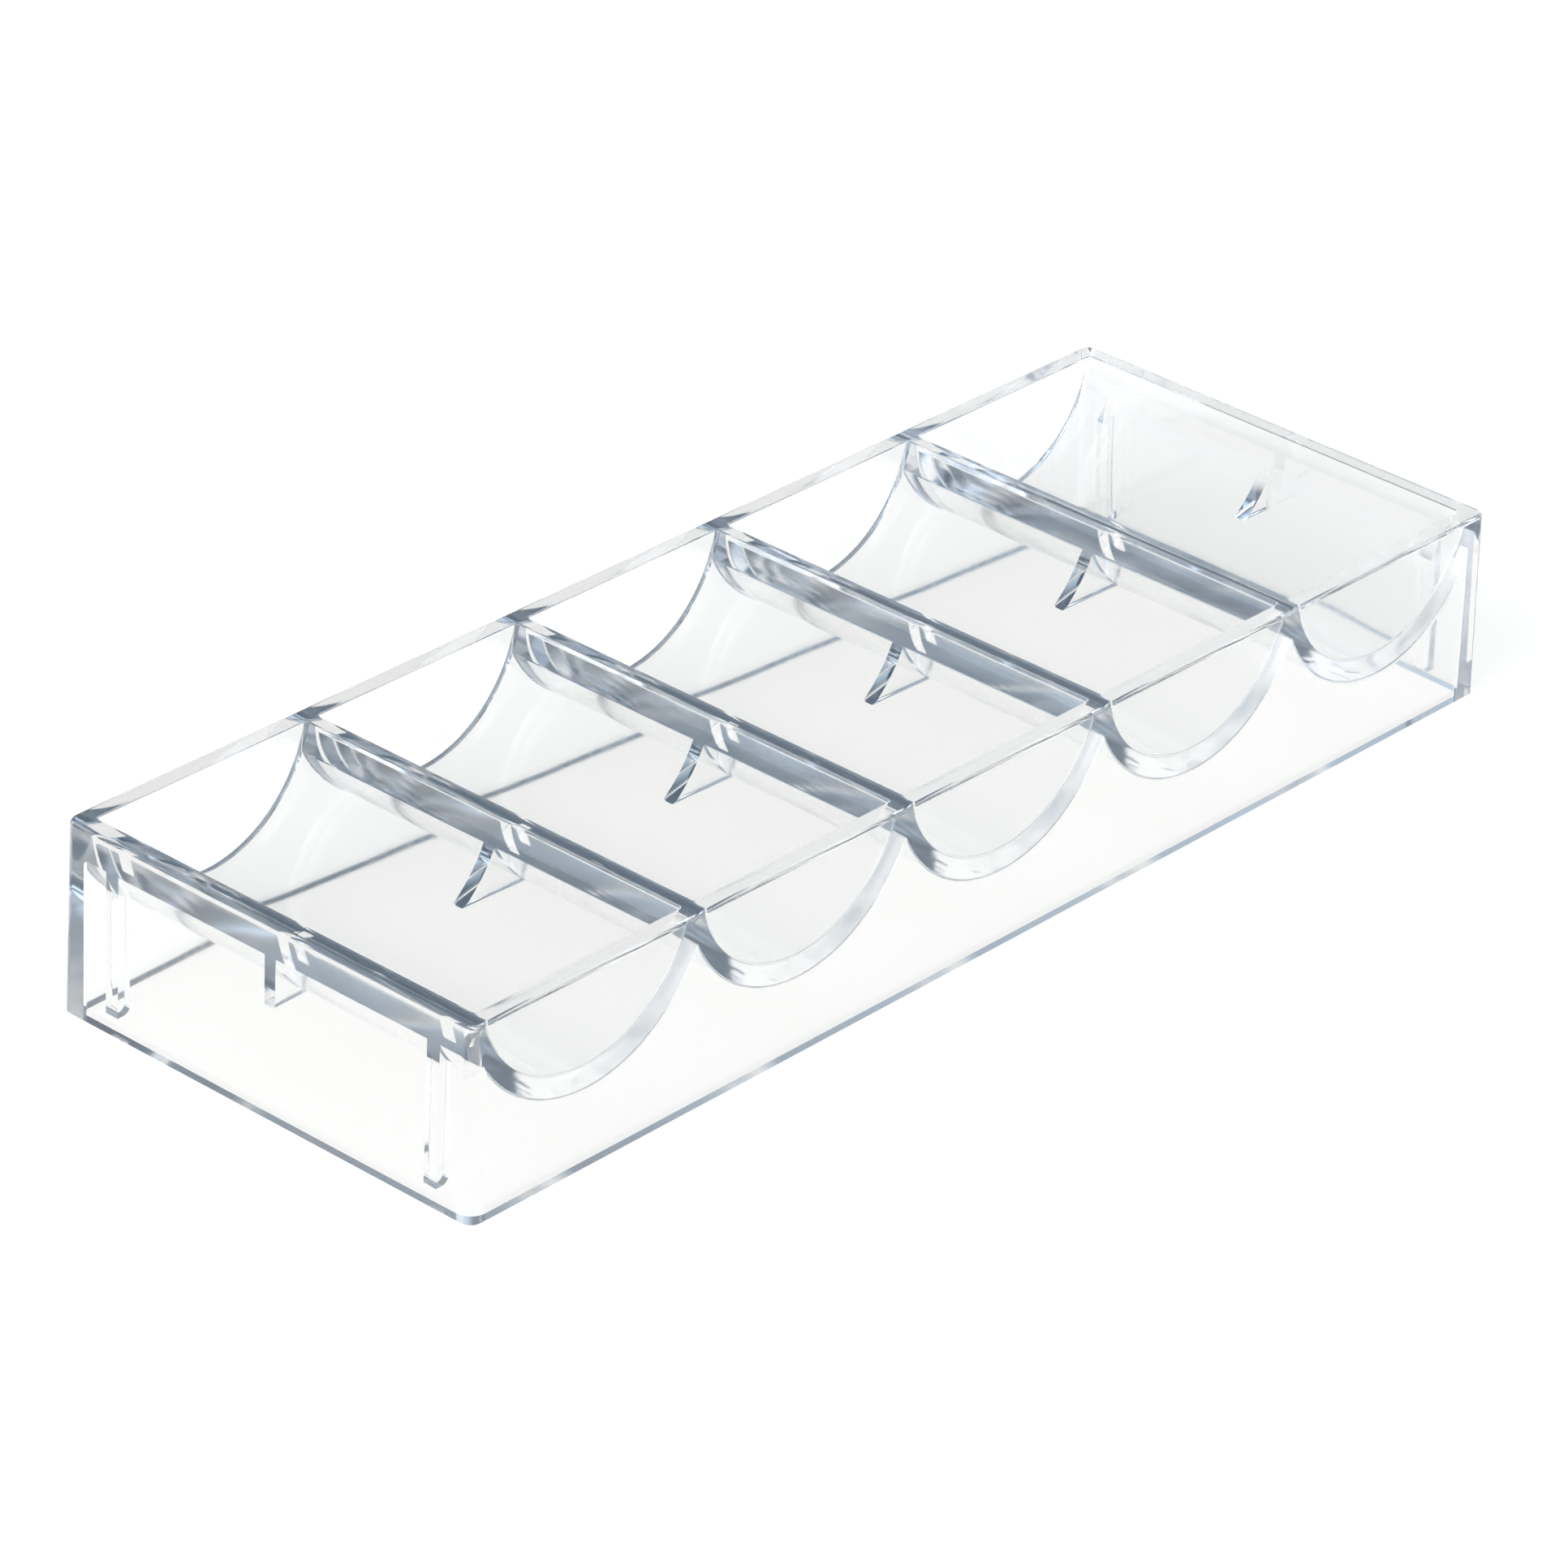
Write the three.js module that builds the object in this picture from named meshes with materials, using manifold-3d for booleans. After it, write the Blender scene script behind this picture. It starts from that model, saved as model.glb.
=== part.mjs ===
// Clear poker chip tray: five half-round pockets side by side, each holding a row of chips on edge,
// in one injection moulding with a drafted skirt that is open underneath.
// Millimetres, +Z up. +X runs across the rows of chips, +Y along them, and the origin is on the
// table under the middle of the tray. The moulding is built as its own members, which meet face to
// face on shared planes and shared facets: walls, pockets, divider rails, gussets and ribs.
import * as THREE from 'three';
import { mergeVertices } from 'three/addons/utils/BufferGeometryUtils.js';
import Module from 'manifold-3d';

const wasm = await Module();
wasm.setup();

// ---------------------------------------------------------------- driving dimensions
// What the tray holds
const pocketCount = 5;            // rows of chips
const chipDiameter = 39.5;
const chipClearance = 0.25;       // radial room round a chip
const chipsPerRow = 20;
const chipThickness = 3.4;
const rowClearance = 2.2;         // spare length in a full row

// The moulding
const height = 29.5;
const rimWidth = 3.0;             // flat rim between a pocket and the outside
const dividerLand = 2.2;          // flat top between two pockets
const pocketRise = 4.3;           // centre of the pocket's arc above the rim
const sheet = 2.7;                // thickness of a pocket's curved sheet
const wall = 2.2;                 // skirt thickness at the rim
const draft = 0.5;                // how far each outer face leans out by the time it reaches the table
const cornerRadius = 1.8;         // upright corners, in plan
const rimRound = 0.5;             // rounding of the rim's outer edge
const pocketEndDraft = 2.2;       // degrees that a pocket's flat end leans inward with depth

// Stiffeners under the pockets
const gussetThickness = 2.0;
const gussetDrop = 8.1;           // below the notch between two sheets
const ribWidth = 2.3;
const ribDepth = 2.2;
const ribSetIn = 8.2;             // centre of a rib from the tray's long edge
const ribToeGap = 2.0;            // clear of the table
const ribToeChamfer = 1.0;

// Smoothness of the facets
const sheetFacets = 36;
const landFacets = 2;
const cornerFacets = 5;
const rimRoundFacets = 3;

// ---------------------------------------------------------------- sizes that follow
const pocketRadius = chipDiameter / 2 + chipClearance;
const pocketHalf = Math.sqrt(pocketRadius ** 2 - pocketRise ** 2);   // half width at the rim
const pocketLength = chipsPerRow * chipThickness + rowClearance;
const sheetRadius = pocketRadius + sheet;
const pitch = 2 * pocketHalf + dividerLand;
const length = pocketCount * 2 * pocketHalf + (pocketCount - 1) * dividerLand + 2 * rimWidth;
const width = pocketLength + 2 * rimWidth;
const wallFaceX = length / 2 - wall;      // inner face of an end wall
const wallFaceY = width / 2 - wall;       // inner face of a long wall
const notchOffset = pitch / 2;            // from a pocket's centre to the middle of a divider
const endOffset = pocketHalf + rimWidth - wall;   // from the last pocket's centre to the end wall

const snap = (value) => Math.round(value * 1000) / 1000;
const pocketCentre = (i) => (i - (pocketCount - 1) / 2) * pitch;
const undersideZ = (offset) => height + pocketRise - Math.sqrt(sheetRadius ** 2 - offset ** 2);
const point = (x, z) => new THREE.Vector2(snap(x), snap(z));

// ---------------------------------------------------------------- solids
function toManifold(geometry) {
  const bare = new THREE.BufferGeometry();
  bare.setAttribute('position', geometry.getAttribute('position'));
  if (geometry.index) bare.setIndex(geometry.index);
  const merged = mergeVertices(bare, 1e-5);
  return new wasm.Manifold(new wasm.Mesh({
    numProp: 3,
    vertProperties: new Float32Array(merged.getAttribute('position').array),
    triVerts: new Uint32Array(merged.index.array),
  }));
}

function toGeometry(manifold) {
  const mesh = manifold.getMesh();
  const geometry = new THREE.BufferGeometry();
  geometry.setAttribute('position', new THREE.BufferAttribute(new Float32Array(mesh.vertProperties), 3));
  geometry.setIndex(new THREE.BufferAttribute(new Uint32Array(mesh.triVerts), 1));
  geometry.computeVertexNormals();
  return geometry;
}

// A closed outline in X and Z, carried along Y from one end to the other.
function alongY(outline, fromY, toY) {
  const geometry = new THREE.ExtrudeGeometry(new THREE.Shape(outline), {
    depth: toY - fromY, bevelEnabled: false,
  });
  geometry.rotateX(Math.PI / 2);
  geometry.translate(0, toY, 0);
  return geometry;
}

// A closed outline in Y and Z, carried along X over the whole tray.
function alongX(outline) {
  const reach = length;
  const geometry = new THREE.ExtrudeGeometry(new THREE.Shape(outline), {
    depth: 2 * reach, bevelEnabled: false,
  });
  geometry.rotateX(Math.PI / 2);
  geometry.rotateZ(Math.PI / 2);
  geometry.translate(-reach, 0, 0);
  return geometry;
}

function box(minX, maxX, minY, maxY) {
  const above = height;                       // runs past the rim and the base
  const geometry = new THREE.BoxGeometry(maxX - minX, maxY - minY, height + 2 * above);
  geometry.translate((minX + maxX) / 2, (minY + maxY) / 2, height / 2);
  return toManifold(geometry);
}

// One ring of the tray's outline, grown outward all round by `grow`.
function outlineRing(grow, z) {
  const ring = [];
  const radius = cornerRadius + grow;
  for (let corner = 0; corner < 4; corner += 1) {
    const signX = corner === 0 || corner === 3 ? 1 : -1;
    const signY = corner < 2 ? 1 : -1;
    for (let step = 0; step <= cornerFacets; step += 1) {
      const angle = (corner + step / cornerFacets) * Math.PI / 2;
      ring.push(new THREE.Vector3(
        signX * (length / 2 - cornerRadius) + radius * Math.cos(angle),
        signY * (width / 2 - cornerRadius) + radius * Math.sin(angle),
        z,
      ));
    }
  }
  return ring;
}

// Skin over a stack of convex rings, closed at both ends.
function loft(rings) {
  const count = rings[0].length;
  const positions = rings.flat().flatMap((v) => [v.x, v.y, v.z]);
  const index = [];
  for (let r = 0; r + 1 < rings.length; r += 1) {
    for (let k = 0; k < count; k += 1) {
      const a = r * count + k;
      const b = r * count + (k + 1) % count;
      index.push(a, b, b + count, a, b + count, a + count);
    }
  }
  const top = (rings.length - 1) * count;
  for (let k = 1; k + 1 < count; k += 1) {
    index.push(0, k + 1, k);
    index.push(top, top + k, top + k + 1);
  }
  const geometry = new THREE.BufferGeometry();
  geometry.setAttribute('position', new THREE.BufferAttribute(new Float32Array(positions), 3));
  geometry.setIndex(index);
  return geometry;
}

// The tray's whole outer form: leaning sides, round upright corners and a softened rim.
function outerForm() {
  const rings = [outlineRing(draft, 0)];
  for (let step = 0; step <= rimRoundFacets; step += 1) {
    const angle = (step / rimRoundFacets) * Math.PI / 2;
    rings.push(outlineRing(rimRound * (Math.cos(angle) - 1), height - rimRound * (1 - Math.sin(angle))));
  }
  return toManifold(loft(rings));
}

// ---------------------------------------------------------------- the underside's shared points
// Evenly stepped points of a sheet's underside, from one offset off the pocket's centre to another.
function undersideArc(i, fromOffset, toOffset, facets) {
  const fromAngle = Math.asin(fromOffset / sheetRadius);
  const toAngle = Math.asin(toOffset / sheetRadius);
  return Array.from({ length: facets + 1 }, (_, k) => {
    const offset = sheetRadius * Math.sin(fromAngle + (toAngle - fromAngle) * k / facets);
    return point(pocketCentre(i) + offset, undersideZ(offset));
  });
}

const sheetArc = (i) => undersideArc(i, -pocketHalf, pocketHalf, sheetFacets);

// From the top of the space beside a pocket down along its sheet: side is -1 or 1.
function downTheSheet(i, side, topOffset) {
  const shoulder = undersideArc(i, side * topOffset, side * pocketHalf, landFacets);
  const sheetPoints = sheetArc(i);
  if (side > 0) sheetPoints.reverse();
  return [...shoulder, ...sheetPoints.slice(1)];
}

// The part of a path before it first passes `limit` in `axis`, ending exactly there.
function cutPath(path, axis, limit) {
  const kept = [path[0]];
  for (let k = 1; k < path.length; k += 1) {
    const a = path[k - 1];
    const b = path[k];
    const share = (limit - a[axis]) / (b[axis] - a[axis]);
    if (share >= 0 && share < 1) {
      kept.push(point(a.x + (b.x - a.x) * share, a.y + (b.y - a.y) * share));
      return kept;
    }
    kept.push(b);
  }
  return kept;
}

// ---------------------------------------------------------------- members
const form = outerForm();
const beyond = length;

function longWall(side) {
  const near = side * wallFaceY;
  const far = side * (wallFaceY + beyond);
  return toGeometry(form.intersect(box(-beyond, beyond, Math.min(near, far), Math.max(near, far))));
}

// The end wall is the plate of the skirt, thickened to the full rim above the pocket's sheet.
function endWall(side) {
  const i = side < 0 ? 0 : pocketCount - 1;
  const shoulder = undersideArc(i, side * pocketHalf, side * endOffset, landFacets);
  const rimX = shoulder[0].x;
  const outside = side * (wallFaceX + beyond);
  const outline = [
    point(rimX, 2 * height), ...shoulder, point(side * wallFaceX, -height),
    point(outside, -height), point(outside, 2 * height),
  ];
  if (side > 0) outline.reverse();
  return toGeometry(form.intersect(toManifold(alongY(outline, -wallFaceY, wallFaceY))));
}

// The hollow that the chips stand in: a round bottom between two leaning flat ends.
function pocketHollow(i) {
  const above = 2 * height;
  const round = Array.from({ length: sheetFacets + 1 }, (_, k) => {
    const reach = Math.asin(pocketHalf / pocketRadius);
    const angle = reach * (2 * k / sheetFacets - 1);
    return point(
      pocketCentre(i) + pocketRadius * Math.sin(angle),
      height + pocketRise - pocketRadius * Math.cos(angle),
    );
  });
  const first = round[0];
  const last = round[round.length - 1];
  const section = [new THREE.Vector2(first.x, above), ...round, new THREE.Vector2(last.x, above)];
  const lean = Math.tan(THREE.MathUtils.degToRad(pocketEndDraft));
  const halfAt = (z) => pocketLength / 2 + (z - height) * lean;
  const ends = [
    new THREE.Vector2(-halfAt(0), 0), new THREE.Vector2(halfAt(0), 0),
    new THREE.Vector2(halfAt(above), above), new THREE.Vector2(-halfAt(above), above),
  ];
  const bar = toManifold(alongY(section, -width, width));
  return bar.intersect(toManifold(alongX(ends)));
}

function pocket(i) {
  const underside = sheetArc(i);
  const outline = [
    new THREE.Vector2(underside[0].x, height), ...underside,
    new THREE.Vector2(underside[underside.length - 1].x, height),
  ];
  const block = toManifold(alongY(outline, -wallFaceY, wallFaceY));
  return toGeometry(block.subtract(pocketHollow(i)));
}

// The bar between pocket i and the next: flat land on top, notched below where the sheets part.
function dividerRail(i) {
  const left = undersideArc(i, pocketHalf, notchOffset, landFacets);
  const right = undersideArc(i + 1, -notchOffset, -pocketHalf, landFacets);
  const outline = [
    new THREE.Vector2(left[0].x, height), ...left, ...right.slice(1),
    new THREE.Vector2(right[right.length - 1].x, height),
  ];
  return alongY(outline, -wallFaceY, wallFaceY);
}

// A web across the middle of the notch between pocket i and the next.
function dividerGusset(i) {
  const bottom = undersideZ(notchOffset) - gussetDrop;
  const left = cutPath(downTheSheet(i, 1, notchOffset), 'y', bottom);
  const right = cutPath(downTheSheet(i + 1, -1, notchOffset), 'y', bottom);
  const outline = [...left.reverse(), ...right.slice(1)];
  return alongY(outline.reverse(), -gussetThickness / 2, gussetThickness / 2);
}

// The half web between the last sheet and its end wall.
function endGusset(side) {
  const i = side < 0 ? 0 : pocketCount - 1;
  const bottom = undersideZ(notchOffset) - gussetDrop;
  const sheetSide = cutPath(downTheSheet(i, side, endOffset), 'y', bottom);
  const outline = [...sheetSide, point(side * wallFaceX, bottom)];
  if (side < 0) outline.reverse();
  return alongY(outline, -gussetThickness / 2, gussetThickness / 2);
}

// An upright rib inside an end wall, with its toe cut back above the table.
function endRib(side, row) {
  const i = side < 0 ? 0 : pocketCount - 1;
  const face = side * wallFaceX;
  const inner = face - side * ribDepth;
  const top = cutPath(downTheSheet(i, side, endOffset), 'x', inner);
  const outline = [
    ...top, point(inner, ribToeGap + ribToeChamfer),
    point(inner + side * ribToeChamfer, ribToeGap), point(face, ribToeGap),
  ];
  if (side < 0) outline.reverse();
  const middle = row * (width / 2 - ribSetIn);
  return alongY(outline, snap(middle - ribWidth / 2), snap(middle + ribWidth / 2));
}

// ---------------------------------------------------------------- the tray
const tray = new THREE.Group();

function add(name, geometry, colour) {
  const mesh = new THREE.Mesh(geometry, new THREE.MeshStandardMaterial({
    color: colour, roughness: 0.05, metalness: 0, transparent: true, opacity: 0.4,
  }));
  mesh.name = name;
  tray.add(mesh);
}

const clear = { wall: 0xdfe6ea, pocket: 0xeef1ef, rail: 0x9fb0c4, web: 0xb7c2cc };

add('front_wall', longWall(-1), clear.wall);
add('back_wall', longWall(1), clear.wall);
add('left_end_wall', endWall(-1), clear.wall);
add('right_end_wall', endWall(1), clear.wall);
for (let i = 0; i < pocketCount; i += 1) add(`pocket_${i + 1}`, pocket(i), clear.pocket);
for (let i = 0; i + 1 < pocketCount; i += 1) {
  add(`divider_rail_${i + 1}`, dividerRail(i), clear.rail);
  add(`divider_gusset_${i + 1}`, dividerGusset(i), clear.web);
}
for (const [endName, side] of [['left', -1], ['right', 1]]) {
  add(`${endName}_end_gusset`, endGusset(side), clear.web);
  for (const [rowName, row] of [['front', -1], ['back', 1]]) {
    add(`${endName}_${rowName}_rib`, endRib(side, row), clear.web);
  }
}

export default tray;
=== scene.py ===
# %% [markdown]
# # A clear poker chip tray
#
# This lesson builds a small moulded tray for poker chips out of clear plastic. It has five
# half-round pockets side by side, a flat rim, thin rails between the pockets and a straight skirt
# that is open underneath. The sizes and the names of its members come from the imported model, which
# is loaded first and stays as a fixed frame that everything is built around.

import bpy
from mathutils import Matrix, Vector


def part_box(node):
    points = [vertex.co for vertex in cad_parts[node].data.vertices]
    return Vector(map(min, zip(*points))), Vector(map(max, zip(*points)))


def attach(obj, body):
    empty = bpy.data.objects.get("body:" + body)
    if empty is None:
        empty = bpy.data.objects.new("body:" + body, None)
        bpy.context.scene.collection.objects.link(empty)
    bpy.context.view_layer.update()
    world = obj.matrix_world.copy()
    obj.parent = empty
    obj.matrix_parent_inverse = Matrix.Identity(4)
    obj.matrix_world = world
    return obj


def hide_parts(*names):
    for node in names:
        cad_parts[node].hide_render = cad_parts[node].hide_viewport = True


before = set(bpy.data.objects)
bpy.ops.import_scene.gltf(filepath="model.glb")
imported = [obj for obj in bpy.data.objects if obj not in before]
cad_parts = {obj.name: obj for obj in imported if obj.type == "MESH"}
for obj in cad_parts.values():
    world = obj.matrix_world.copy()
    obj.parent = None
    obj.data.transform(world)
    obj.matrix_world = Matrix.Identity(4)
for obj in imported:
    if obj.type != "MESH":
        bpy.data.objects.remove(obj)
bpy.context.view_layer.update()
print("members in the frame:", len(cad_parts))

# %% Libraries
import math

import bmesh
import bpy
from mathutils import Matrix, Vector

# %% [markdown]
# ## The sizes
#
# Where the frame's boxes give a size, it is read from them: the height of the rim, the inner faces
# of the walls, the sides of each pocket. What a box can't tell, such as a radius, is written here.
# Blender works in metres, so `MM` keeps the numbers readable.

# %% Sizes read from the frame
MM = 0.001

rim_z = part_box("front_wall")[1].z
inner_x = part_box("left_back_rib")[0].x          # inner face of the left end wall, a negative X
inner_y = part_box("back_wall")[0].y              # inner face of the long wall at the back
base_half_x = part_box("front_wall")[1].x
base_half_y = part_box("back_wall")[1].y
pocket_sides = [(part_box(f"pocket_{n}")[0].x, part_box(f"pocket_{n}")[1].x) for n in range(1, 6)]
pocket_centres = [(low + high) / 2 for low, high in pocket_sides]
pocket_half = (pocket_sides[0][1] - pocket_sides[0][0]) / 2
gusset_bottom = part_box("divider_gusset_1")[0].z
gusset_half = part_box("divider_gusset_1")[1].y
print("rim height", round(rim_z / MM, 2), "pocket half width", round(pocket_half / MM, 3))

# %% Sizes that a box can't tell
pocket_radius = 20.0 * MM
pocket_rise = math.sqrt(pocket_radius ** 2 - pocket_half ** 2)   # centre of the arc above the rim
sheet = 2.7 * MM
flare = 0.5 * MM                  # each outer face leans out by this much at the table
corner_radius = 1.8 * MM
rim_round = 0.7 * MM              # outer edge of the rim
lip_round = 0.25 * MM             # edge between the rim and a pocket
end_round = 0.6 * MM              # where a pocket's flat end runs into its round bottom
corner_inside = 1.2 * MM          # upright inner corners of the skirt
under_round = 0.45 * MM           # where the sheets run into the long walls, below
notch_flat = 0.35 * MM            # the notch between two sheets stops this much short of a point
web_round = 0.35 * MM             # lower edges of a gusset
rib_toe_round = 1.1 * MM          # free lower edge of a rib
rib_edge_round = 0.25 * MM        # upright edges of a rib
pocket_end_y = 35.1 * MM          # flat end of a pocket, at the rim
end_lean = math.radians(2.2)
seam_set_in = 0.1 * MM            # how far a saw cut lies inside the material it parts
ROUND = 256                       # facets in a full turn of a pocket
NEAR = 0.01 * MM                  # two places closer than this count as the same
SPARE = 5 * MM                    # how far a cutting tool runs on past what it cuts

# %% [markdown]
# ## Small helpers
#
# An operator acts on everything that is selected, so each step first clears the selection and then
# picks edges or faces by where they lie. `pick` does that in edit mode, `boolean` cuts one solid
# with another, and `check` prints whether a solid is closed.

# %% Choosing what to work on
def activate(obj):
    bpy.ops.object.select_all(action="DESELECT")
    obj.select_set(True)
    bpy.context.view_layer.objects.active = obj


def pick(obj, edges=None, faces=None, sharp=0):
    bpy.ops.mesh.select_all(action="DESELECT")
    bpy.ops.mesh.select_mode(type="EDGE" if edges else "FACE")
    mesh = bmesh.from_edit_mesh(obj.data)
    for edge in mesh.edges if edges else []:
        if edge.calc_face_angle(0) >= sharp and edges([v.co for v in edge.verts]):
            edge.select_set(True)
    for face in mesh.faces if faces else []:
        if faces(face):
            face.select_set(True)
    mesh.select_flush_mode()
    bmesh.update_edit_mesh(obj.data)


# %% Blocks, copies and cuts
def settle(obj):
    activate(obj)
    bpy.ops.object.transform_apply(location=True, rotation=True, scale=True)


def boolean(obj, tool, operation):
    activate(obj)
    step = obj.modifiers.new("cut", "BOOLEAN")
    step.operation = operation
    step.solver = "EXACT"
    step.object = tool
    bpy.ops.object.modifier_apply(modifier=step.name)


def copy_of(obj, name):
    twin = obj.copy()
    twin.data = obj.data.copy()
    twin.name = name
    bpy.context.collection.objects.link(twin)
    return twin


def drop(*objs):
    for obj in objs:
        bpy.data.objects.remove(obj)


def block(name, low, high):
    bpy.ops.object.select_all(action="DESELECT")
    middle = [(a + b) / 2 for a, b in zip(low, high)]
    bpy.ops.mesh.primitive_cube_add(size=1, location=middle)
    obj = bpy.context.object
    obj.name = name
    obj.scale = [b - a for a, b in zip(low, high)]
    settle(obj)
    return obj


# %% Rounding and checking
def soften(obj, edges, width, segments, sharp=0):
    activate(obj)
    bpy.ops.object.mode_set(mode="EDIT")
    pick(obj, edges=edges, sharp=sharp)
    bpy.ops.mesh.bevel(offset=width, segments=segments, profile=0.5, affect="EDGES")
    bpy.ops.object.mode_set(mode="OBJECT")


def check(obj):
    mesh = bmesh.new()
    mesh.from_mesh(obj.data)
    loose = sum(1 for edge in mesh.edges if len(edge.link_faces) != 2)
    volume = mesh.calc_volume() / MM ** 3 / 1000
    mesh.free()
    print(f"{obj.name}: {len(obj.data.polygons)} faces, {volume:.2f} cm3, {loose} open edges")

# %% [markdown]
# ## The block
#
# The outer form is a box that leans out by half a millimetre towards the table, so that the real
# one slides off its mould. Its upright corners are round and the outer edge of its rim is softened.
# A cube does for this: the bottom face is widened, then the upright edges and the top outline are
# bevelled, in that order, so that the rim's rounding runs evenly round the corners.

# %% The outer form
tray = block(
    "tray_moulding",
    (-base_half_x + flare, -base_half_y + flare, 0),
    (base_half_x - flare, base_half_y - flare, rim_z),
)
bpy.ops.object.mode_set(mode="EDIT")
pick(tray, faces=lambda f: f.normal.z < -0.9)
bpy.ops.transform.resize(value=(base_half_x / (base_half_x - flare), base_half_y / (base_half_y - flare), 1))
pick(tray, edges=lambda ends: abs(ends[0].z - ends[1].z) > 0.9 * rim_z)
bpy.ops.mesh.bevel(offset=corner_radius, segments=10, profile=0.5, affect="EDGES")
pick(tray, edges=lambda ends: min(p.z for p in ends) > rim_z - NEAR)
bpy.ops.mesh.bevel(offset=rim_round, segments=8, profile=0.5, affect="EDGES")
bpy.ops.object.mode_set(mode="OBJECT")
check(tray)

# %% [markdown]
# ## The pockets
#
# A row of chips standing on edge is a cylinder lying down, so a pocket is what a lying cylinder
# leaves behind. Its two flat ends lean inward a little with depth. One cutter is modelled: a
# cylinder, trimmed at both ends by a leaning plane and bevelled there, which leaves a small radius
# in the tray. It is cut off just under the rim, and its top is drawn up and outward in small steps
# along a quarter turn, which rounds the edge where the rim drops into the pocket.

# %% One pocket cutter
def pocket_cutter():
    bpy.ops.object.select_all(action="DESELECT")
    bpy.ops.mesh.primitive_cylinder_add(
        vertices=ROUND, radius=pocket_radius, depth=2 * (pocket_end_y + SPARE),
        location=(0, 0, rim_z + pocket_rise), rotation=(math.pi / 2, 0, 0),
    )
    cutter = bpy.context.object
    cutter.name = "pocket_cutter"
    settle(cutter)
    bpy.ops.object.mode_set(mode="EDIT")
    for side in (-1, 1):
        bpy.ops.mesh.select_all(action="SELECT")
        bpy.ops.mesh.bisect(
            plane_co=(0, side * pocket_end_y, rim_z),
            plane_no=(0, side * math.cos(end_lean), -math.sin(end_lean)),
            use_fill=True, clear_outer=True, threshold=1e-7,
        )
    pick(cutter, edges=lambda ends: abs(ends[0].y - ends[1].y) < pocket_end_y)
    bpy.ops.mesh.bevel(offset=end_round, segments=5, profile=0.5, affect="EDGES")
    bpy.ops.mesh.select_all(action="SELECT")
    bpy.ops.mesh.bisect(
        plane_co=(0, 0, rim_z - lip_round), plane_no=(0, 0, 1),
        use_fill=True, clear_outer=True, threshold=1e-7,
    )
    bpy.ops.object.mode_set(mode="OBJECT")
    return cutter


cutter = pocket_cutter()
check(cutter)

# %% The rounded lip above it
def raise_lip(cutter, steps=4):
    bpy.ops.object.mode_set(mode="EDIT")
    top = [v.co for v in cutter.data.vertices if v.co.z > rim_z - lip_round - NEAR]
    half_x, half_y = max(co.x for co in top), max(co.y for co in top)
    pick(cutter, faces=lambda f: f.normal.z > 0.9 and f.calc_center_median().z > rim_z - 2 * lip_round)
    grown, height = 0.0, 0.0
    for step in range(1, steps + 2):
        angle = min(step / steps, 1) * math.pi / 2
        grow = lip_round * (1 - math.cos(angle))
        rise = lip_round * math.sin(angle) + (0 if step <= steps else 3 * MM)
        bpy.ops.mesh.extrude_region_move(TRANSFORM_OT_translate={"value": (0, 0, rise - height)})
        bpy.ops.transform.resize(
            value=((half_x + grow) / (half_x + grown), (half_y + grow) / (half_y + grown), 1))
        grown, height = grow, rise
    bpy.ops.object.mode_set(mode="OBJECT")


activate(cutter)
raise_lip(cutter)
check(cutter)

# %% Five pockets cut from the block
pocket_tools = []
for number, centre in enumerate(pocket_centres, start=1):
    tool = copy_of(cutter, f"pocket_cutter_{number}")
    tool.location.x = centre
    settle(tool)
    pocket_tools.append(tool)
    boolean(tray, tool, "DIFFERENCE")
check(tray)

# %% [markdown]
# ## The space underneath
#
# The moulding is hollow below, so that every part of it is about as thick as the next and cools
# evenly. The space has flat sides along the walls, and its top follows the round sheets. It is made
# as a solid of its own: a box between the walls, less five cylinders, one sheet thickness larger
# than the pockets. Near the long walls each cylinder is drawn out to a flare, in small steps along
# a quarter turn, which leaves a small radius where sheet and wall meet. A narrow bar takes the point
# off each notch between two cylinders, since a mould has no knife edges.

# %% A sheet's cylinder
def sheet_cylinder(centre, radius, flared=0.0, steps=4):
    bpy.ops.object.select_all(action="DESELECT")
    bpy.ops.mesh.primitive_cylinder_add(
        vertices=ROUND, radius=radius, depth=2 * (inner_y - flared),
        location=(centre, 0, rim_z + pocket_rise), rotation=(math.pi / 2, 0, 0),
    )
    roll = bpy.context.object
    settle(roll)
    bpy.ops.object.mode_set(mode="EDIT")
    for side in (-1, 1):
        pick(roll, faces=lambda f: len(f.verts) == ROUND and f.normal.y * side > 0.9)
        out, wide = 0.0, radius
        for step in range(1, steps + 1) if flared else []:
            angle = step / steps * math.pi / 2
            reach, grown = flared * math.sin(angle), radius + flared * (1 - math.cos(angle))
            bpy.ops.mesh.extrude_region_move(TRANSFORM_OT_translate={"value": (0, side * (reach - out), 0)})
            bpy.ops.transform.resize(value=(grown / wide, 1, grown / wide))
            out, wide = reach, grown
        bpy.ops.mesh.extrude_region_move(TRANSFORM_OT_translate={"value": (0, side * base_half_y, 0)})
    bpy.ops.object.mode_set(mode="OBJECT")
    return roll


# %% The space between the walls and under the sheets
space = block(
    "space_underneath", (inner_x, -inner_y, -SPARE), (-inner_x, inner_y, rim_z - 1 * MM))
soften(space, lambda ends: abs(ends[0].z - ends[1].z) > 0.9 * rim_z, corner_inside, 8)
for centre in pocket_centres:
    roll = sheet_cylinder(centre, pocket_radius + sheet, flared=under_round)
    boolean(space, roll, "DIFFERENCE")
    drop(roll)
for left, right in zip(pocket_centres, pocket_centres[1:]):
    middle_x = (left + right) / 2
    top = rim_z + pocket_rise - math.sqrt((pocket_radius + sheet) ** 2 - (middle_x - left) ** 2)
    bar = block(
        "notch_flat",
        (middle_x - 1 * MM, -base_half_y, top - notch_flat), (middle_x + 1 * MM, base_half_y, rim_z))
    boolean(space, bar, "DIFFERENCE")
    drop(bar)
check(space)

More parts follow.
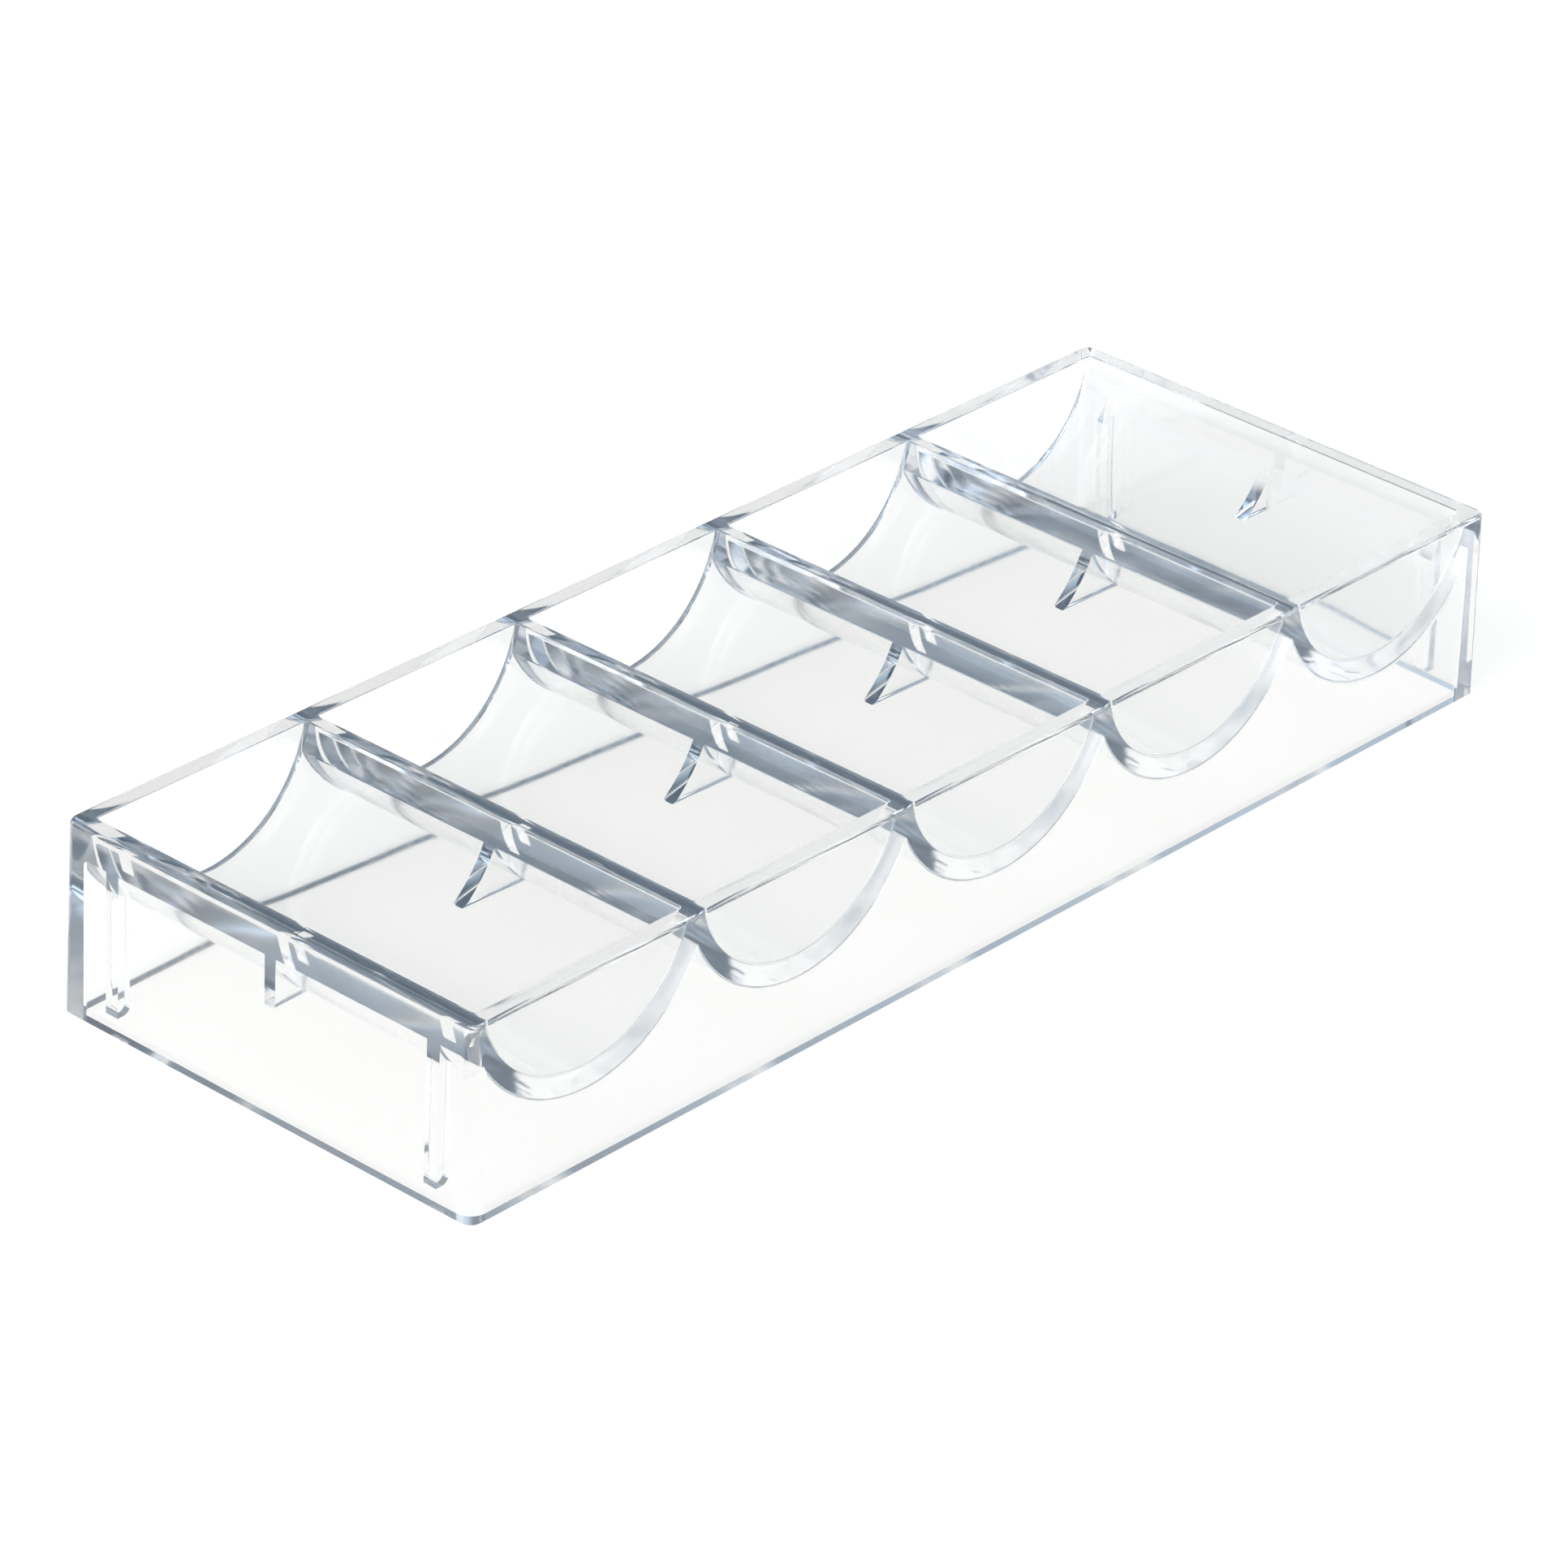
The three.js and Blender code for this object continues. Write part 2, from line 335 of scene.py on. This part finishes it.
# %% [markdown]
# ## Gussets and ribs
#
# Thin webs stiffen the tray from below. A gusset stands across the notch between two sheets at
# mid length, and half a gusset between the last sheet and each end wall. Two upright ribs stand
# inside each end wall and stop just above the table. In the mould these are slots cut deeper into
# the core, so here they are taken away from the space rather than added to the tray.

# %% The space with room left for the stiffeners
core = copy_of(space, "mould_core")
web = block("gusset_web", (2 * inner_x, -gusset_half, gusset_bottom), (-2 * inner_x, gusset_half, rim_z))
soften(web, lambda ends: max(p.z for p in ends) < gusset_bottom + NEAR
       and abs(ends[0].x - ends[1].x) > 10 * MM, web_round, 3)
boolean(core, web, "DIFFERENCE")
drop(web)

rib_names = ["left_front_rib", "left_back_rib", "right_front_rib", "right_back_rib"]
for name in rib_names:
    low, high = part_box(name)
    wall_side = -1 if low.x < 0 else 1
    free_x = high.x if wall_side < 0 else low.x
    outer = (2 * low.x, high.x) if wall_side < 0 else (low.x, 2 * high.x)
    rib = block("rib", (outer[0], low.y, low.z), (outer[1], high.y, rim_z))
    soften(rib, lambda ends: all(abs(p.x - free_x) < NEAR and p.z < low.z + NEAR for p in ends),
           rib_toe_round, 5)
    soften(rib, lambda ends: all(abs(p.x - free_x) < NEAR for p in ends)
           and abs(ends[0].z - ends[1].z) > 10 * MM, rib_edge_round, 3)
    boolean(core, rib, "DIFFERENCE")
    drop(rib)
check(core)
boolean(tray, core, "DIFFERENCE")
check(tray)

# %% [markdown]
# ## Two finishes
#
# The tray is clear polystyrene. Its surface bends and mirrors light. Where two members of the
# moulding run into each other there is no surface at all, so the faces made by sawing them apart
# get a second finish that lets light straight through: seen together, the members are one piece of
# plastic again. Both finishes are set up here by name and built further down.

# %% Names of the two finishes
clear_plastic = bpy.data.materials.new("clear_plastic")
inner_joint = bpy.data.materials.new("inner_joint")


def give_finishes(obj, index):
    obj.data.materials.clear()
    obj.data.materials.append(clear_plastic)
    obj.data.materials.append(inner_joint)
    obj.data.polygons.foreach_set("material_index", [index] * len(obj.data.polygons))


give_finishes(tray, 0)

# %% [markdown]
# ## Sawing the moulding into its members
#
# Each member is what the tray has inside a simple saw solid. The saw's own faces carry the joint
# finish, and a boolean keeps each face's finish, so the cut faces come out marked by themselves. A
# saw face never lies exactly on a face of the tray: it is set a tenth of a millimetre into the
# material, because two faces in one plane make an uncertain cut.

# %% The saw
def saw(name, low, high, less_sheets=False):
    tool = block(name, low, high)
    for centre in pocket_centres if less_sheets else []:
        roll = sheet_cylinder(centre, pocket_radius + sheet - seam_set_in)
        boolean(tool, roll, "DIFFERENCE")
        drop(roll)
    give_finishes(tool, 1)
    return tool


def sawn(source, name, low, high, less_sheets=False, keep_rest=False):
    tool = saw(name + "_saw", low, high, less_sheets)
    piece = copy_of(source, name)
    boolean(piece, tool, "INTERSECT")
    if keep_rest:
        boolean(source, tool, "DIFFERENCE")
    drop(tool)
    return piece


FAR = 0.3
members = {}
split_y = inner_y - seam_set_in
members["front_wall"] = sawn(tray, "clear_front_wall", (-FAR, -FAR, -FAR), (FAR, -split_y, FAR))
members["back_wall"] = sawn(tray, "clear_back_wall", (-FAR, split_y, -FAR), (FAR, FAR, FAR))
middle = sawn(tray, "middle", (-FAR, -split_y, -FAR), (FAR, split_y, FAR))
for obj in (members["front_wall"], members["back_wall"], middle):
    check(obj)

# %% Gussets and ribs
margin = 0.3 * MM                 # how far a saw runs past a gusset or rib


def stiffener(name):
    low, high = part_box(name)
    low = [low.x - margin, low.y - margin, low.z - margin]
    high = [high.x + margin, high.y + margin, rim_z - 2 * MM]
    if low[0] < inner_x:
        low[0] = inner_x - seam_set_in
    if high[0] > -inner_x:
        high[0] = -inner_x + seam_set_in
    return sawn(middle, "clear_" + name, low, high, less_sheets=True, keep_rest=True)


# Gussets and ribs come off first, and the rest of the middle is sawn after them.
gusset_names = [f"divider_gusset_{n}" for n in range(1, 5)] + ["left_end_gusset", "right_end_gusset"]
for name in gusset_names + rib_names:
    members[name] = stiffener(name)
    check(members[name])

# %% End walls, pockets and rails
edges_x = [-FAR] + [x for sides in pocket_sides for x in sides] + [FAR]
across = ["left_end_wall"]
for n in range(1, 6):
    across += [f"pocket_{n}", f"divider_rail_{n}"]
across[-1] = "right_end_wall"
for name, low_x, high_x in zip(across, edges_x, edges_x[1:]):
    members[name] = sawn(middle, "clear_" + name, (low_x, -FAR, -FAR), (high_x, FAR, FAR))
    check(members[name])
drop(tray, middle, core, space, cutter, *pocket_tools)

# %% [markdown]
# ## Smooth curves, true flats
#
# Curved faces should look round and flat ones flat. Edges under 30 degrees are shaded smooth, and
# the Weighted Normal modifier lets large faces decide, so that a wall beside a small rounding stays
# flat. On clear plastic this matters twice, because a bent normal bends what is seen through it.

# %% Shading
for obj in members.values():
    activate(obj)
    bpy.ops.object.shade_smooth_by_angle(angle=math.radians(30))
    flats = obj.modifiers.new("flats", "WEIGHTED_NORMAL")
    flats.keep_sharp = True
    flats.weight = 100
    bpy.ops.object.modifier_apply(modifier=flats.name)
print("shaded", len(members), "members")

# %% [markdown]
# ## The clear plastic
#
# Moulded polystyrene is glass clear and bends light by about 1.55. It isn't perfect: the skin
# follows the flow of the melt, so it swells and sinks by hundredths of a millimetre over a
# centimetre or two, and chips sliding in and out rub it a little duller in places. Both come from
# noise in the object's own coordinates: a slow noise drives a bump, and a finer one, stretched
# along the tray, drives the polish. The colour is almost white, because all the tone in a clear
# part comes from what it bends and mirrors.

# %% Clear polystyrene
def start_nodes(material):
    material.use_nodes = True
    tree = material.node_tree
    tree.nodes.clear()
    return tree.nodes, tree.links


nodes, links = start_nodes(clear_plastic)
output = nodes.new("ShaderNodeOutputMaterial")
plastic = nodes.new("ShaderNodeBsdfPrincipled")
plastic.inputs["Base Color"].default_value = (0.985, 0.99, 0.99, 1)
plastic.inputs["IOR"].default_value = 1.55
plastic.inputs["Transmission Weight"].default_value = 1.0
links.new(plastic.outputs["BSDF"], output.inputs["Surface"])

where = nodes.new("ShaderNodeTexCoord")
waves = nodes.new("ShaderNodeTexNoise")
waves.inputs["Scale"].default_value = 55
waves.inputs["Detail"].default_value = 1.0
links.new(where.outputs["Object"], waves.inputs["Vector"])
swell = nodes.new("ShaderNodeBump")
swell.inputs["Strength"].default_value = 0.7
swell.inputs["Distance"].default_value = 0.15 * MM
links.new(waves.outputs["Fac"], swell.inputs["Height"])
links.new(swell.outputs["Normal"], plastic.inputs["Normal"])

stretch = nodes.new("ShaderNodeMapping")
stretch.inputs["Scale"].default_value = (1.0, 6.0, 6.0)
rub = nodes.new("ShaderNodeTexNoise")
rub.inputs["Scale"].default_value = 140
rub.inputs["Detail"].default_value = 4.0
polish = nodes.new("ShaderNodeMapRange")
polish.inputs["From Min"].default_value = 0.35
polish.inputs["From Max"].default_value = 0.7
polish.inputs["To Min"].default_value = 0.05
polish.inputs["To Max"].default_value = 0.09
links.new(where.outputs["Object"], stretch.inputs["Vector"])
links.new(stretch.outputs["Vector"], rub.inputs["Vector"])
links.new(rub.outputs["Fac"], polish.inputs["Value"])
links.new(polish.outputs["Result"], plastic.inputs["Roughness"])

# %% [markdown]
# Inside the moulding there is no skin between two members. The faces the saw made there let light
# through unbent, which is what a plain transparent surface does.

# %% Where the members run into each other
nodes, links = start_nodes(inner_joint)
output = nodes.new("ShaderNodeOutputMaterial")
through = nodes.new("ShaderNodeBsdfTransparent")
links.new(through.outputs["BSDF"], output.inputs["Surface"])

# %% [markdown]
# ## Onto the frame
#
# Each member stands in for the node of the same name, which is hidden. The whole tray is one rigid body, so
# all of them ride on the root.

# %% Riding on the frame
for name, obj in members.items():
    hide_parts(name)
    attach(obj, "root")
print("members riding on the root:", len(members))

# %% [markdown]
# ## Table
#
# Clear plastic has to be seen against something pale. The table is a matt white sheet, evenly lit
# from within like a light table, so that no hard shadow of the tray falls on it. The last trace of
# shading under the sheets comes from the little light that it scatters back.

# %% Table
bpy.ops.mesh.primitive_plane_add(size=4, location=(0, 0, -0.05 * MM))
table = bpy.context.object
table.name = "table"
pale = bpy.data.materials.new("pale_table")
nodes, links = start_nodes(pale)
output = nodes.new("ShaderNodeOutputMaterial")
paint = nodes.new("ShaderNodeBsdfPrincipled")
paint.inputs["Base Color"].default_value = (0.3, 0.3, 0.3, 1)
paint.inputs["Roughness"].default_value = 0.9
paint.inputs["Emission Color"].default_value = (0.85, 0.84, 0.81, 1)
paint.inputs["Emission Strength"].default_value = 1.0
links.new(paint.outputs["BSDF"], output.inputs["Surface"])
table.data.materials.append(pale)

# %% [markdown]
# ## A dim room with soft panels
#
# Under even white light a clear tray would vanish. Its edges show because they carry the room's
# darker parts to the eye. So the room is a dim blue-grey, lighter overhead, and a few soft panels
# stand round the table: a strong one at the left, a cooler wide one at the front left, a weak one
# at the far right and a narrow one at the back. `panel` adds one: it is bright where a direction
# lies within `wide` degrees of the panel's middle, and fades over twice `soft` degrees.

# %% The dim room
scene = bpy.context.scene
studio = bpy.data.worlds.new("studio")
scene.world = studio
studio.use_nodes = True
nodes, links = studio.node_tree.nodes, studio.node_tree.links
nodes.clear()
where = nodes.new("ShaderNodeTexCoord")
axes = nodes.new("ShaderNodeSeparateXYZ")
links.new(where.outputs["Generated"], axes.inputs["Vector"])
room = nodes.new("ShaderNodeMapRange")
room.data_type = "FLOAT_VECTOR"
room.inputs[9].default_value = (0.015, 0.052, 0.1)        # at table height
room.inputs[10].default_value = (0.125, 0.16, 0.2)      # overhead
links.new(axes.outputs["Z"], room.inputs["Vector"])


# %% Four soft panels
def panel(so_far, azimuth, elevation, wide, soft, colour):
    azimuth, elevation = math.radians(azimuth), math.radians(elevation)
    facing = nodes.new("ShaderNodeVectorMath")
    facing.operation = "DOT_PRODUCT"
    facing.inputs[1].default_value = (
        math.cos(elevation) * math.cos(azimuth), math.cos(elevation) * math.sin(azimuth), math.sin(elevation))
    links.new(where.outputs["Generated"], facing.inputs[0])
    edge = nodes.new("ShaderNodeMapRange")
    edge.interpolation_type = "SMOOTHSTEP"
    edge.inputs["From Min"].default_value = math.cos(math.radians(wide + soft))
    edge.inputs["From Max"].default_value = math.cos(math.radians(wide - soft))
    links.new(facing.outputs["Value"], edge.inputs["Value"])
    light = nodes.new("ShaderNodeVectorMath")
    light.operation = "MULTIPLY_ADD"
    light.inputs[1].default_value = colour
    links.new(edge.outputs["Result"], light.inputs[0])
    links.new(so_far, light.inputs[2])
    return light.outputs["Vector"]


light = panel(room.outputs["Vector"], 178, 36, 22, 8, (4.8, 4.75, 4.9))
light = panel(light, 244, 11, 30, 12, (1.4, 1.8, 2.3))
light = panel(light, 14, 20, 22, 12, (0.5, 0.6, 0.7))
light = panel(light, 109, 15, 13, 5, (3.0, 3.2, 3.4))
glow = nodes.new("ShaderNodeBackground")
output = nodes.new("ShaderNodeOutputWorld")
links.new(light, glow.inputs["Color"])
links.new(glow.outputs["Background"], output.inputs["Surface"])

# %% [markdown]
# Light may cross and mirror inside the plastic dozens of times before it leaves, so it is followed
# for many bounces. The plain view transform keeps whites white.

# %% How far light is followed, and how it is shown
scene.cycles.max_bounces = 32
scene.cycles.transmission_bounces = 32
scene.cycles.glossy_bounces = 32
scene.cycles.transparent_max_bounces = 64
scene.view_settings.view_transform = "Standard"

# %% [markdown]
# ## Camera
#
# The camera looks down on the near left corner with a long lens, so the tray's edges stay almost
# parallel. It is turned a little about its own axis. `back` points from the tray to the camera.

# %% Camera
camera_distance = 1.0878
azimuth, elevation, roll = math.radians(-48.883), math.radians(29.07), math.radians(2.497)
aim = Vector((-9.305, -4.926, 15)) * MM
back = Vector((
    math.cos(elevation) * math.sin(azimuth), -math.cos(elevation) * math.cos(azimuth), math.sin(elevation)))
level = (-back).cross(Vector((0, 0, 1))).normalized()
lift = level.cross(-back)
right = level * math.cos(roll) + lift * math.sin(roll)
up = lift * math.cos(roll) - level * math.sin(roll)
lens = bpy.data.cameras.new("lens")
camera = bpy.data.objects.new("camera", lens)
scene.collection.objects.link(camera)
turned = Matrix((right, up, back)).transposed().to_4x4()
camera.matrix_world = Matrix.Translation(aim + back * camera_distance) @ turned
lens.sensor_width = 36
lens.lens = 180
lens.clip_start = 0.01
scene.camera = camera

# %% [markdown]
# ## Member count
#
# The number of members is printed.

# %% Member count
print("boxes written, members:", len(members))
